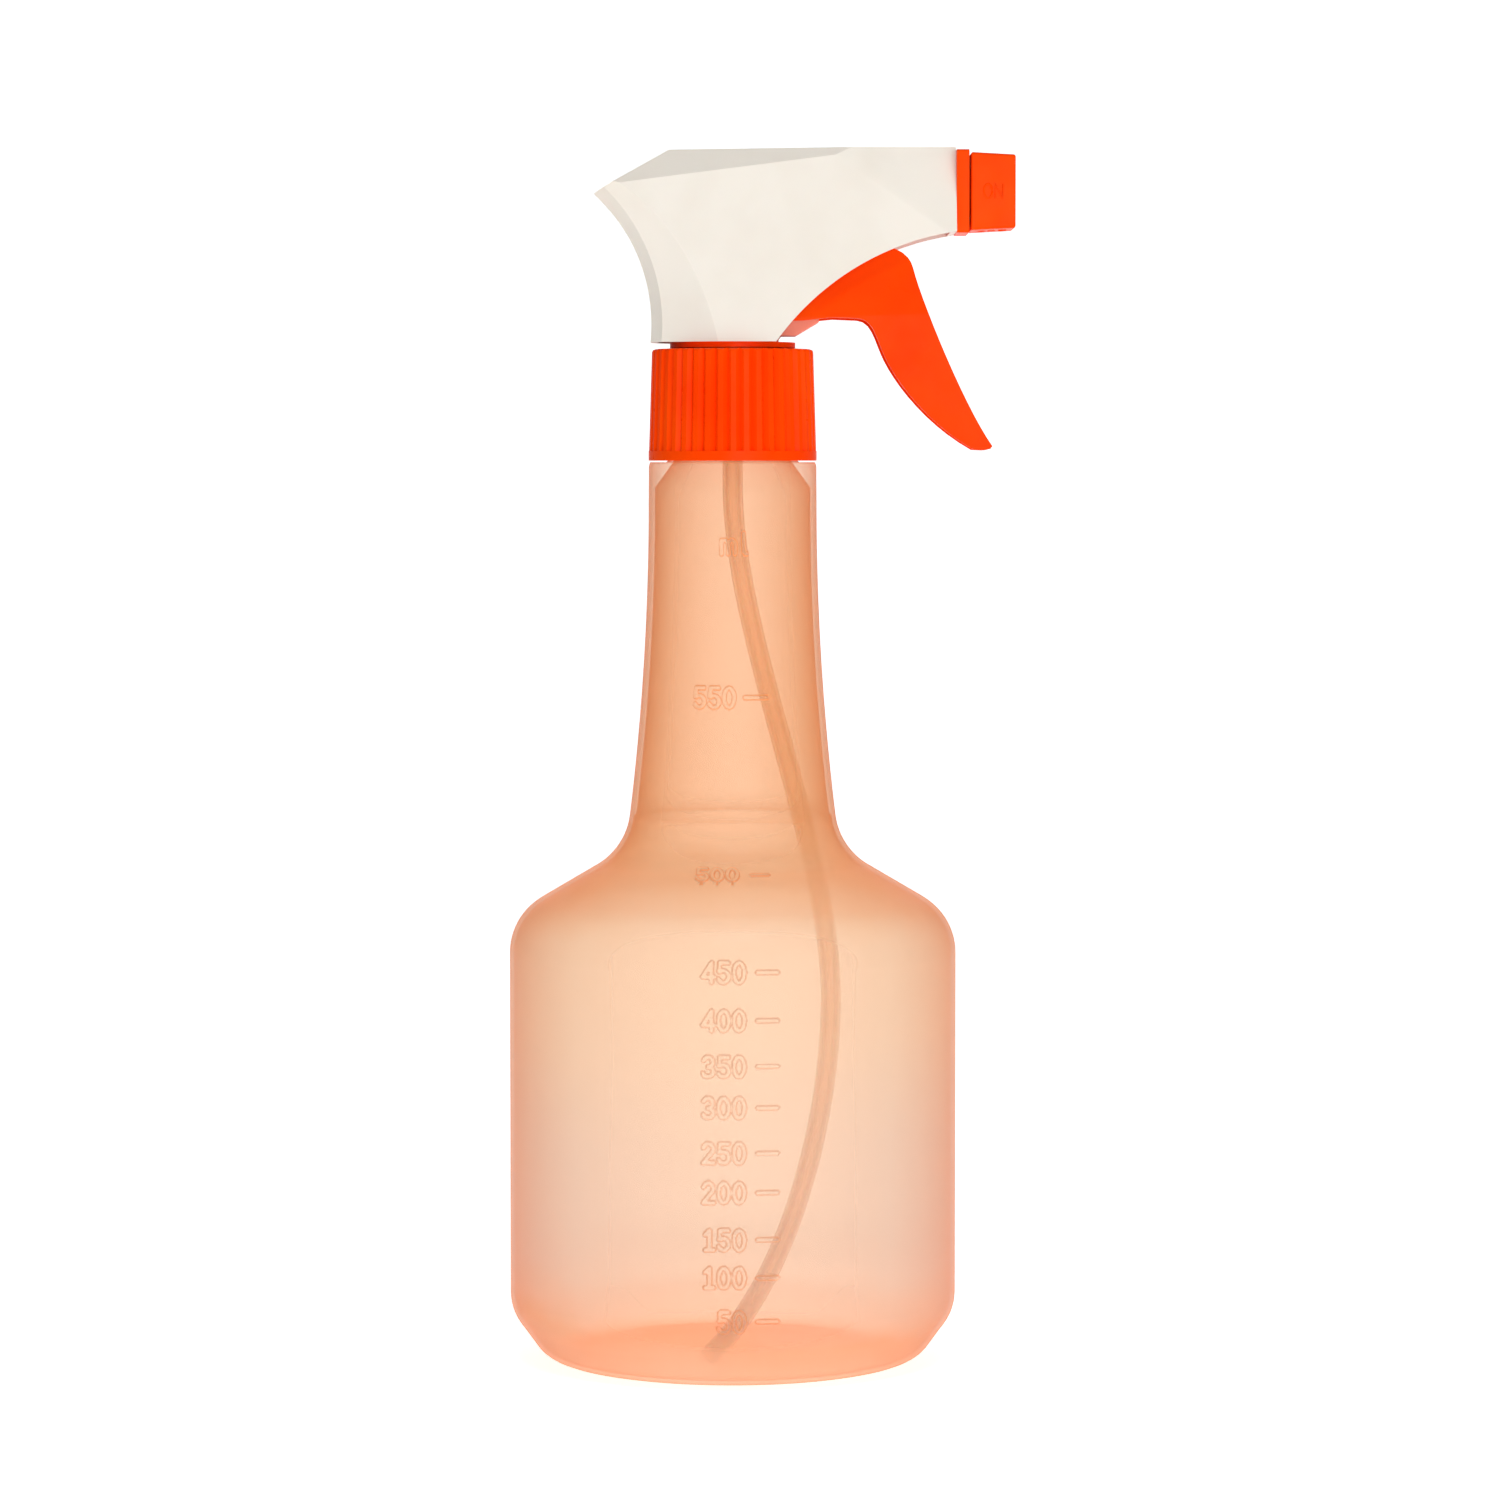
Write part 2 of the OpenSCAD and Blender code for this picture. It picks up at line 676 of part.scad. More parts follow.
// Front view of the trigger: narrow at the tip, widest over the closure, narrow at the pivot.
module trigger_front(t) {
    tip = trigger_half - 1.8 - t;
    wide = trigger_half - t;
    top = trigger_half - 2.85 - t;
    translate([0, ledge_z])
        polygon([[-tip, -0.3], [tip, -0.3], [wide, 28.2], [top, 57.7], [-top, 57.7], [-wide, 28.2]]);
}

module trigger() {
    color("orangered")
        difference() {
            intersection() {
                side_plate(12)
                    trigger_side();
                front_plate(0, 60)
                    trigger_front(0);
            }
            intersection() {
                translate([-finger_wall, 0, -0.7])
                    side_plate(12)
                        trigger_side();
                front_plate(-5, 60)
                    trigger_front(cheek);
            }
            // room for the barrel and for the pump inside the cheeks
            translate([20, -5.1, barrel_z - 7.95])
                cube([20, 10.2, 15]);
            translate([0, 0, pump_z])
                rotate([0, 90, 0])
                    cylinder(h = 29, r = pump_od + 0.35);
            translate([pivot_x, 10, barrel_z])
                rotate([90, 0, 0])
                    cylinder(h = 20, r = pivot_r + fit);
            translate([pivot_x, pin_half + eps, pump_z])
                rotate([90, 0, 0])
                    cylinder(h = 2 * pin_half + 2 * eps, r = pin_r);
        }
}

module plunger_pin() {
    color("white")
        translate([pivot_x, pin_half, pump_z])
            rotate([90, 0, 0])
                cylinder(h = 2 * pin_half, r = pin_r);
}

// ---- inlet ----
module tube_holder() {
    color("whitesmoke")
        difference() {
            union() {
                translate([0, 0, holder_z])
                    cylinder(h = holder_top - holder_z, r = holder_r);
                translate([0, 0, seal_z])
                    cylinder(h = seal_h, r = holder_r + 1.9);
            }
            translate([0, 0, holder_z - 1])
                cylinder(h = ball_seat - holder_z, r = tube_r);
            translate([0, 0, holder_z])
                cylinder(h = 12, r = seat_r);
            translate([0, 0, ball_seat])
                cylinder(h = 4, r = 2.4);
        }
}

module inlet_ball() {
    color("silver")
        translate([0, 0, ball_z])
            sphere(r = ball_r);
}

module dip_tube() {
    top = ball_seat - 1.1;
    path = concat(
        [[0, 0, top], [0, 0, holder_z], [0, 0, ledge_z + 3.7]],
        bezier([0, 0, ledge_z - 4.3], [0, 0, ledge_z - 34.3], [tube_bow, 0, 101], [tube_bow, 0, 71], 16),
        [for (p = bezier([tube_bow, 0, 71], [tube_bow, 0, 45], [10, -8, 15], [-4.3, -29, 5.2], 16))
            if (p[2] < 70.5) p]);
    n = len(path);
    stations = [for (i = [0:n - 1]) let (
        d = path[min(i + 1, n - 1)] - path[max(i - 1, 0)],
        u = cross(d, [0, 1, 0]),
        side = u / norm(u),
        up = cross(d, side) / norm(d))
        [path[i], side, up]];
    color("white")
        pipe(stations, tube_r, tube_bore, 16);
}

bottle();
closure();
closure_gasket();
pump_body();
cylinder_bracket();
barrel_plug();
shroud();
nose_plate();
tube_holder();
dip_tube();
inlet_ball();
plunger();
piston_seal();
return_spring();
cylinder_ring();
trigger();
plunger_pin();
outlet_valve();
outlet_spring();
spinner();
nozzle_seal();
nozzle();
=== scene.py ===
"""Trigger spray bottle: the moulded bottle with its raised scale, finishes, lights and camera.

Lengths are in metres in the part's own frame: +X the way it sprays, +Z up, base at zero.
"""
import math

import bpy
import numpy as np
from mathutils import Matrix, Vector


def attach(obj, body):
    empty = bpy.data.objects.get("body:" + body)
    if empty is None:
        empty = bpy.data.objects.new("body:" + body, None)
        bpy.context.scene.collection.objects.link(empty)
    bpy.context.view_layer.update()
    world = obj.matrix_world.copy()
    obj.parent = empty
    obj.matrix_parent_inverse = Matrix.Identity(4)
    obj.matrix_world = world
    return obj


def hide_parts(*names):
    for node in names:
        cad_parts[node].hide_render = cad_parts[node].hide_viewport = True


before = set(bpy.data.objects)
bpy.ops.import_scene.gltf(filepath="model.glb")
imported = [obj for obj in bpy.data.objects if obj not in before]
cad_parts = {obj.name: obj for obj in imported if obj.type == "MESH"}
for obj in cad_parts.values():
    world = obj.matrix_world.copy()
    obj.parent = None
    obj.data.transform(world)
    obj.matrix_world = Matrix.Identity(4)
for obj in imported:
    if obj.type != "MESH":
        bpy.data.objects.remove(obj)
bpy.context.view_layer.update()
MM = 0.001


# ---- small helpers ----
def hex_linear(code, alpha=1.0):
    """An sRGB hex colour as linear RGBA."""
    parts = [int(code[i : i + 2], 16) / 255 for i in (1, 3, 5)]
    return tuple(c / 12.92 if c <= 0.04045 else ((c + 0.055) / 1.055) ** 2.4 for c in parts) + (alpha,)


def put(tree, kind, inputs=None, **settings):
    """Adds one node, sets its properties, and fills or links its inputs by name or number."""
    made = tree.nodes.new(kind)
    for name, value in settings.items():
        setattr(made, name, value)
    for name, value in (inputs or {}).items():
        if isinstance(value, bpy.types.NodeSocket):
            tree.links.new(value, made.inputs[name])
        else:
            made.inputs[name].default_value = value
    return made


def blank(name):
    """A new material with an empty node tree, and its output node."""
    material = bpy.data.materials.new(name)
    material.use_nodes = True
    material.node_tree.nodes.clear()
    return material, material.node_tree


def in_mm(tree, stretch=(1, 1, 1)):
    """Object coordinates counted in millimetres."""
    place = put(tree, "ShaderNodeTexCoord")
    return put(
        tree,
        "ShaderNodeMapping",
        {"Vector": place.outputs["Object"], "Scale": [1000 * s for s in stretch]},
    ).outputs["Vector"]


def band(tree, value, low, high, to_low, to_high):
    """value from low..high spread over to_low..to_high."""
    return put(
        tree,
        "ShaderNodeMapRange",
        {"Value": value, "From Min": low, "From Max": high, "To Min": to_low, "To Max": to_high},
    ).outputs["Result"]


def ramp(tree, value, stops):
    """A colour ramp with (place, hex) stops."""
    made = put(tree, "ShaderNodeValToRGB", {"Fac": value})
    steps = made.color_ramp.elements
    while len(steps) < len(stops):
        steps.new(1.0)
    for step, (place, code) in zip(steps, stops):
        step.position = place
        step.color = hex_linear(code)
    return made.outputs["Color"]


def mesh_piece(name, points, faces, body, smooth=True):
    """A mesh object that rides on a body."""
    mesh = bpy.data.meshes.new(name)
    mesh.from_pydata([tuple(p) for p in points], [], faces)
    mesh.validate()
    mesh.update()
    if smooth:
        mesh.shade_smooth()
    made = bpy.data.objects.new(name, mesh)
    bpy.context.collection.objects.link(made)
    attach(made, body)
    return made


# ---- finishes ----
def moulded_plastic(name, base, dark, light, rough, grain_mm, grain_depth_mm, glow, shine=0.5):
    """Injection-moulded plastic: slow tone drift from flow, faint spark texture, light let in at the skin."""
    material, tree = blank(name)
    spot = in_mm(tree)
    flow = put(tree, "ShaderNodeTexNoise", {"Vector": spot, "Scale": 0.045, "Detail": 3.0, "Roughness": 0.55})
    spark = put(tree, "ShaderNodeTexNoise", {"Vector": spot, "Scale": 1 / grain_mm, "Detail": 2.0})
    smear = put(tree, "ShaderNodeTexNoise", {"Vector": spot, "Scale": 0.35, "Detail": 4.0, "Distortion": 0.6})
    tone = ramp(tree, flow.outputs["Fac"], [(0.32, dark), (0.5, base), (0.68, light)])
    gloss = band(tree, smear.outputs["Fac"], 0.3, 0.7, rough - 0.05, rough + 0.07)
    relief = put(
        tree,
        "ShaderNodeBump",
        {"Strength": 0.35, "Distance": grain_depth_mm * MM, "Height": spark.outputs["Fac"]},
    )
    skin = put(
        tree,
        "ShaderNodeBsdfPrincipled",
        {
            "Base Color": tone,
            "Roughness": gloss,
            "IOR": 1.49,
            "Subsurface Weight": glow,
            "Subsurface Radius": (1.0, 0.35, 0.2),
            "Subsurface Scale": 0.0012,
            "Specular IOR Level": shine,
            "Normal": relief.outputs["Normal"],
        },
    )
    put(tree, "ShaderNodeOutputMaterial", {"Surface": skin.outputs["BSDF"]})
    return material


def orange_polypropylene():
    """Polished-mould polypropylene, loaded with a hot orange: even, saturated, hardly any glare."""
    return moulded_plastic("orange_polypropylene", "#ff4400", "#fd3d00", "#ff4e00", 0.3, 0.5, 0.006, 0.0, 0.03)


def salmon_polypropylene():
    """A paler pink copy of the orange plastic, dull: painted light, standing in for light let through the thin orange
    part.
    """
    return moulded_plastic("salmon_polypropylene", "#f5866a", "#ea765a", "#f9957a", 0.42, 0.5, 0.008, 0.1, 0.3)


def white_polypropylene():
    """Cream-white polypropylene from a lightly sparked mould: satin, never mirror-like."""
    return moulded_plastic("white_polypropylene", "#f0e9de", "#ece4d8", "#f1eadf", 0.46, 0.22, 0.008, 0.04, 0.25)


def natural_polypropylene():
    """Unpigmented polypropylene: milky, waxy, a little cold."""
    return moulded_plastic("natural_polypropylene", "#e8e6de", "#dfddd4", "#efede6", 0.38, 0.4, 0.008, 0.5)


def soft_liner():
    """Foamed polyethylene liner: dead matt and off-white."""
    return moulded_plastic("soft_liner", "#e6e3db", "#dcd8cf", "#eeebe4", 0.7, 0.12, 0.02, 0.3)


def seal_rubber():
    """Nitrile rubber: near black, matt with a slight bloom."""
    return moulded_plastic("seal_rubber", "#1b1b1c", "#151516", "#242425", 0.6, 0.15, 0.01, 0.0)


def stainless_wire():
    """Bright drawn stainless spring wire: fine draw lines round the coil."""
    material, tree = blank("stainless_wire")
    spot = in_mm(tree, (1.0, 6.0, 6.0))
    lines = put(tree, "ShaderNodeTexNoise", {"Vector": spot, "Scale": 2.0, "Detail": 3.0})
    tone = ramp(tree, lines.outputs["Fac"], [(0.3, "#a8a6a1"), (0.7, "#cfcdc8")])
    metal = put(
        tree,
        "ShaderNodeBsdfPrincipled",
        {"Base Color": tone, "Metallic": 1.0, "Roughness": band(tree, lines.outputs["Fac"], 0.3, 0.7, 0.18, 0.34)},
    )
    put(tree, "ShaderNodeOutputMaterial", {"Surface": metal.outputs["BSDF"]})
    return material


def blown_polyethylene():
    """Blow-moulded translucent polyethylene with an orange tint.

    It is cloudy, thin in the body and thicker at neck, shoulder and heel, so those look more orange. A greyer band low
    on the body is painted shade, for the shadow and floor seen through the wall.
    """
    material, tree = blank("blown_polyethylene")
    spot = in_mm(tree)
    height = put(tree, "ShaderNodeSeparateXYZ", {"Vector": spot}).outputs["Z"]
    drift = put(tree, "ShaderNodeTexNoise", {"Vector": spot, "Scale": 0.03, "Detail": 3.0})
    wander = put(
        tree, "ShaderNodeMath", {0: height, 1: band(tree, drift.outputs["Fac"], 0.3, 0.7, -4.0, 4.0)}, operation="ADD"
    ).outputs["Value"]
    along = band(tree, wander, 0.0, 200.0, 0.0, 1.0)
    tone = ramp(
        tree,
        along,
        [
            (0.00, "#ffe6d2"),
            (0.045, "#ffdcc0"),
            # stops 0.07 to 0.22: a greyer band low on the body, painted shade for the shadow and floor seen through
            (0.07, "#fbe6da"),
            (0.11, "#f4ece8"),
            (0.22, "#f7efe8"),
            (0.33, "#fff4e4"),
            (0.425, "#fff3e0"),
            (0.475, "#ffe4c0"),
            (0.53, "#ffd09c"),
            (0.62, "#ffcf9c"),
            (0.86, "#ffd0a0"),
            (0.93, "#ffbc80"),
            (1.00, "#ffa35e"),
        ],
    )
    cloud = put(tree, "ShaderNodeTexNoise", {"Vector": spot, "Scale": 0.5, "Detail": 4.0})
    facing = put(tree, "ShaderNodeLayerWeight", {"Blend": 0.35}).outputs["Facing"]
    edge_tone = put(
        tree,
        "ShaderNodeMix",
        {"Factor": band(tree, facing, 0.22, 0.95, 0.0, 0.9), "A": tone, "B": hex_linear("#ffa262")},
        data_type="RGBA",
    )
    relief = put(tree, "ShaderNodeBump", {"Strength": 0.2, "Distance": 0.02 * MM, "Height": cloud.outputs["Fac"]})
    milky = put(tree, "ShaderNodeBsdfTranslucent", {"Color": colour_of(edge_tone), "Normal": relief.outputs["Normal"]})
    skin = put(
        tree,
        "ShaderNodeBsdfPrincipled",
        {
            "Base Color": colour_of(edge_tone),
            "Roughness": band(tree, cloud.outputs["Fac"], 0.3, 0.7, 0.30, 0.40),
            "IOR": 1.49,
            "Coat Weight": 0.4,
            "Coat Roughness": 0.3,
            "Normal": relief.outputs["Normal"],
        },
    )
    body = put(tree, "ShaderNodeMixShader", {"Fac": 0.6, 1: skin.outputs["BSDF"], 2: milky.outputs["BSDF"]})
    clear = put(tree, "ShaderNodeBsdfTransparent", {"Color": hex_linear("#fff5ec")})
    cover = band(tree, facing, 0.0, 0.9, 0.17, 0.8)
    surface = put(
        tree, "ShaderNodeMixShader", {"Fac": cover, 1: clear.outputs["BSDF"], 2: body.outputs["Shader"]}
    )
    put(tree, "ShaderNodeOutputMaterial", {"Surface": surface.outputs["Shader"]})
    return material


def colour_of(mix):
    """The colour output of a mix node set to RGBA."""
    return [o for o in mix.outputs if o.type == "RGBA"][0]


def figure_flank_painted_shade():
    """The steep sides of the raised figures in a darker colour: painted shade, for the fine darker lines where light is
    bent away from them.
    """
    material, tree = blank("figure_flank_painted_shade")
    spot = in_mm(tree)
    height = put(tree, "ShaderNodeSeparateXYZ", {"Vector": spot}).outputs["Z"]
    grain = put(tree, "ShaderNodeTexNoise", {"Vector": spot, "Scale": 1.2, "Detail": 2.0})
    rise = put(
        tree, "ShaderNodeMath", {0: height, 1: band(tree, grain.outputs["Fac"], 0.3, 0.7, -6.0, 6.0)}, operation="ADD"
    ).outputs["Value"]
    tone = ramp(
        tree,
        band(tree, rise, 0.0, 200.0, 0.0, 1.0),
        [(0.04, "#d98f62"), (0.25, "#e9b596"), (0.40, "#dba888"), (0.48, "#f09a62"), (0.8, "#f39a5e")],
    )
    skin = put(tree, "ShaderNodeBsdfPrincipled", {"Base Color": tone, "Roughness": 0.35, "IOR": 1.49})
    clear = put(tree, "ShaderNodeBsdfTransparent", {"Color": hex_linear("#ffe6d2")})
    surface = put(tree, "ShaderNodeMixShader", {"Fac": 0.6, 1: clear.outputs["BSDF"], 2: skin.outputs["BSDF"]})
    put(tree, "ShaderNodeOutputMaterial", {"Surface": surface.outputs["Shader"]})
    return material


def tube_polyethylene():
    """Extruded polyethylene tube: milky, waxy, light passes its edge."""
    material, tree = blank("tube_polyethylene")
    spot = in_mm(tree)
    draw = put(tree, "ShaderNodeTexNoise", {"Vector": spot, "Scale": 0.4, "Detail": 2.0})
    tone = ramp(tree, draw.outputs["Fac"], [(0.3, "#f3e2d6"), (0.7, "#fbece2")])
    skin = put(
        tree,
        "ShaderNodeBsdfPrincipled",
        {"Base Color": tone, "Roughness": 0.35, "IOR": 1.51, "Subsurface Weight": 0.4, "Subsurface Scale": 0.001},
    )
    clear = put(tree, "ShaderNodeBsdfTransparent", {"Color": hex_linear("#fff6ee")})
    facing = put(tree, "ShaderNodeLayerWeight", {"Blend": 0.4}).outputs["Facing"]
    surface = put(
        tree,
        "ShaderNodeMixShader",
        {"Fac": band(tree, facing, 0.0, 0.8, 0.12, 0.5), 1: clear.outputs["BSDF"], 2: skin.outputs["BSDF"]},
    )
    put(tree, "ShaderNodeOutputMaterial", {"Surface": surface.outputs["Shader"]})
    return material


orange = orange_polypropylene()
white = white_polypropylene()
backlit_orange = salmon_polypropylene()
natural = natural_polypropylene()
liner = soft_liner()
rubber = seal_rubber()
wire = stainless_wire()
bottle_plastic = blown_polyethylene()
flank_painted_shade = figure_flank_painted_shade()
tube_plastic = tube_polyethylene()


# ---- strokes of the raised figures, in a box one unit high ----
def curve(cx, cy, rx, ry, start, end, steps=10):
    """Points on an ellipse between two angles in degrees."""
    turns = [math.radians(start + (end - start) * i / steps) for i in range(steps + 1)]
    return [(cx + rx * math.cos(a), cy + ry * math.sin(a)) for a in turns]


STROKES = {
    "0": [curve(0.28, 0.5, 0.22, 0.42, 0, 360, 24)],
    "1": [[(0.14, 0.74), (0.32, 0.92), (0.32, 0.08)], [(0.14, 0.08), (0.5, 0.08)]],
    "2": [curve(0.28, 0.68, 0.21, 0.24, 165, -25, 12) + [(0.06, 0.08), (0.52, 0.08)]],
    "3": [curve(0.27, 0.70, 0.20, 0.22, 160, -90, 12) + curve(0.27, 0.29, 0.23, 0.21, 90, -160, 12)],
    "4": [[(0.42, 0.08), (0.42, 0.92), (0.04, 0.32), (0.54, 0.32)]],
    "5": [[(0.48, 0.92), (0.12, 0.92), (0.09, 0.54)] + curve(0.27, 0.33, 0.23, 0.25, 118, -155, 14)],
    "m": [[(0.02, 0.08), (0.02, 0.62)], curve(0.16, 0.45, 0.14, 0.17, 180, 0, 8) + [(0.30, 0.08)],
          curve(0.44, 0.45, 0.14, 0.17, 180, 0, 8) + [(0.58, 0.08)]],
    "l": [[(0.2, 0.92), (0.2, 0.16), (0.27, 0.08), (0.34, 0.08)]],
    "O": [curve(0.3, 0.5, 0.25, 0.42, 0, 360, 24)],
    "N": [[(0.06, 0.08), (0.06, 0.92), (0.52, 0.08), (0.52, 0.92)]],
    "F": [[(0.08, 0.08), (0.08, 0.92), (0.5, 0.92)], [(0.08, 0.52), (0.42, 0.52)]],
}
ADVANCE = {"m": 0.72, "l": 0.4}


def lettering(text, tall, right_edge=None, centre=None):
    """Strokes of a word, tall units high, as lists of (across, up) with up measured from the middle."""
    lines, at = [], 0.0
    for sign in text:
        for stroke in STROKES[sign]:
            lines.append([((at + x) * tall, (y - 0.5) * tall) for x, y in stroke])
        at += ADVANCE.get(sign, 0.66)
    width = (at - 0.1) * tall
    shift = right_edge - width if right_edge is not None else centre - width / 2
    return [[(x + shift, y) for x, y in line] for line in lines]


# ---- bottle: the same outline as the CAD solid, in millimetres ----
BODY_R, BODY_WALL, NECK_WALL = 44.0, 1.0, 1.4
FOOT_R, FOOT_CORNER, FLARE_H, FLARE_FILLET, FLARE_TURN = 33.2, 7.0, 13.1, 9.7, -41.0
STAND_W, PUNT_H = 1.8, 3.0
SHOULDER_R, SHOULDER_SLOPE, HOLLOW_R = 12.8, 30.5, 13.2
NECK_SLOPE, NECK_CURVE_R, NECK_R, NECK_STRAIGHT_Z = 7.0, 504.0, 16.6, 168.7
LEDGE_Z, MOUTH_R, ROOT_R, FINISH_Z = 176.3, 10.9, 12.7, 194.2


def arc(centre, r, start, end, steps):
    """Points (r, z) on a circle between two angles in degrees."""
    return [
        (centre[0] + r * math.cos(a), centre[1] + r * math.sin(a))
        for a in (math.radians(start + (end - start) * i / steps) for i in range(steps + 1))
    ]


def bottle_outline(inside, inside_neck, fine):
    """The wall from foot to neck, drawn this far inside the outer surface."""
    slope, lean = math.radians(SHOULDER_SLOPE), math.radians(NECK_SLOPE)
    foot = (NECK_R + NECK_CURVE_R * (1 - math.cos(lean)), NECK_STRAIGHT_Z - NECK_CURVE_R * math.sin(lean))
    hollow = (foot[0] + HOLLOW_R * math.cos(lean), foot[1] + HOLLOW_R * math.sin(lean))
    low = (hollow[0] - HOLLOW_R * math.sin(slope), hollow[1] - HOLLOW_R * math.cos(slope))
    run = (BODY_R - low[0] - SHOULDER_R * (1 - math.sin(slope))) / math.cos(slope)
    high = (low[0] + run * math.cos(slope), low[1] - run * math.sin(slope))
    round_c = (high[0] - SHOULDER_R * math.sin(slope), high[1] - SHOULDER_R * math.cos(slope))
    return (
        arc((FOOT_R, FOOT_CORNER), FOOT_CORNER - inside, -90, FLARE_TURN, 8 * fine)
        + arc((BODY_R - FLARE_FILLET, FLARE_H), FLARE_FILLET - inside, FLARE_TURN, 0, 8 * fine)
        + arc(round_c, SHOULDER_R - inside, 0, 90 - SHOULDER_SLOPE, 10 * fine)
        + arc(hollow, HOLLOW_R + inside, 270 - SHOULDER_SLOPE, 180 + NECK_SLOPE, 8 * fine)
        + arc((NECK_R + NECK_CURVE_R, NECK_STRAIGHT_Z), NECK_CURVE_R + inside_neck, 180 + NECK_SLOPE, 180, 12 * fine)
    )


# heights of the scale's marks up the outside of the wall, and what each says
HEIGHTS = (14.0, 22.4, 29.6, 38.6, 46.1, 54.7, 62.5, 71.2, 80.3, 97.3, 130.9)
SCALE = [(height, str(50 * (i + 1))) for i, height in enumerate(HEIGHTS)]
MARK_TALL, MARK_HALF_W, MARK_RISE = 4.4, 0.42, 0.27
DASHES = {"500": (3.7, 6.9), "550": (2.4, 6.8)}
DASH = (4.8, 8.5)
FIGURES_END = {"500": 1.2, "550": 0.6}
UNIT_Z, UNIT_TALL = 160.6, 4.7
# the wall is drawn a hair inside the solid, so that the raised figures stay inside its box
INSET = 0.21


def resample(line, step_at):
    """The outline as (r, z, length so far) with a step that depends on how far along it is."""
    line = np.array(line)
    keep = np.r_[True, np.linalg.norm(np.diff(line, axis=0), axis=1) > 1e-6]
    line = line[keep]
    length = np.r_[0, np.cumsum(np.linalg.norm(np.diff(line, axis=0), axis=1))]
    at, stops = 0.0, [0.0]
    while at < length[-1]:
        at = min(at + step_at(at), length[-1])
        stops.append(at)
    stops = np.array(stops)
    return np.c_[np.interp(stops, length, line[:, 0]), np.interp(stops, length, line[:, 1]), stops]


def scale_strokes(outer):
    """Every raised stroke on the wall as (across, along) in millimetres of wall."""
    length, z = outer[:, 2], outer[:, 1]
    upright = z > 1.0
    strokes = []
    for height, text in SCALE:
        s = np.interp(height, z[upright], length[upright])
        for line in lettering(text, MARK_TALL, right_edge=FIGURES_END.get(text, 2.5)):
            strokes.append([(x, s + y) for x, y in line])
        strokes.append([(x, s) for x in DASHES.get(text, DASH)])
    s = np.interp(UNIT_Z, z[upright], length[upright])
    for line in lettering("ml", UNIT_TALL, centre=0.2):
        strokes.append([(x, s + y) for x, y in line])
    return strokes


def raised(across, along, strokes):
    """How far each point of a grid (across, along) stands proud, for rounded strokes."""
    lift = np.zeros((len(along), across.shape[1]))
    for line in strokes:
        line = np.array(line)
        low, high = line.min(0) - 2 * MARK_HALF_W, line.max(0) + 2 * MARK_HALF_W
        rows = np.flatnonzero((along >= low[1]) & (along <= high[1]))
        if not len(rows):
            continue
        block = across[rows]
        cols = np.flatnonzero(((block >= low[0]) & (block <= high[0])).any(0))
        if not len(cols):
            continue
        x = block[:, cols]
        y = np.repeat(along[rows][:, None], len(cols), 1)
        near = np.full(x.shape, 9.0)
        for (ax, ay), (bx, by) in zip(line[:-1], line[1:]):
            dx, dy = bx - ax, by - ay
            t = np.clip(((x - ax) * dx + (y - ay) * dy) / max(dx * dx + dy * dy, 1e-9), 0, 1)
            near = np.minimum(near, np.hypot(x - ax - t * dx, y - ay - t * dy))
        ease = np.clip((MARK_HALF_W - near) / 0.16 + 0.5, 0, 1)
        ease = ease * ease * (3 - 2 * ease)
        part = lift[np.ix_(rows, cols)]
        lift[np.ix_(rows, cols)] = np.maximum(part, MARK_RISE * ease)
    return lift


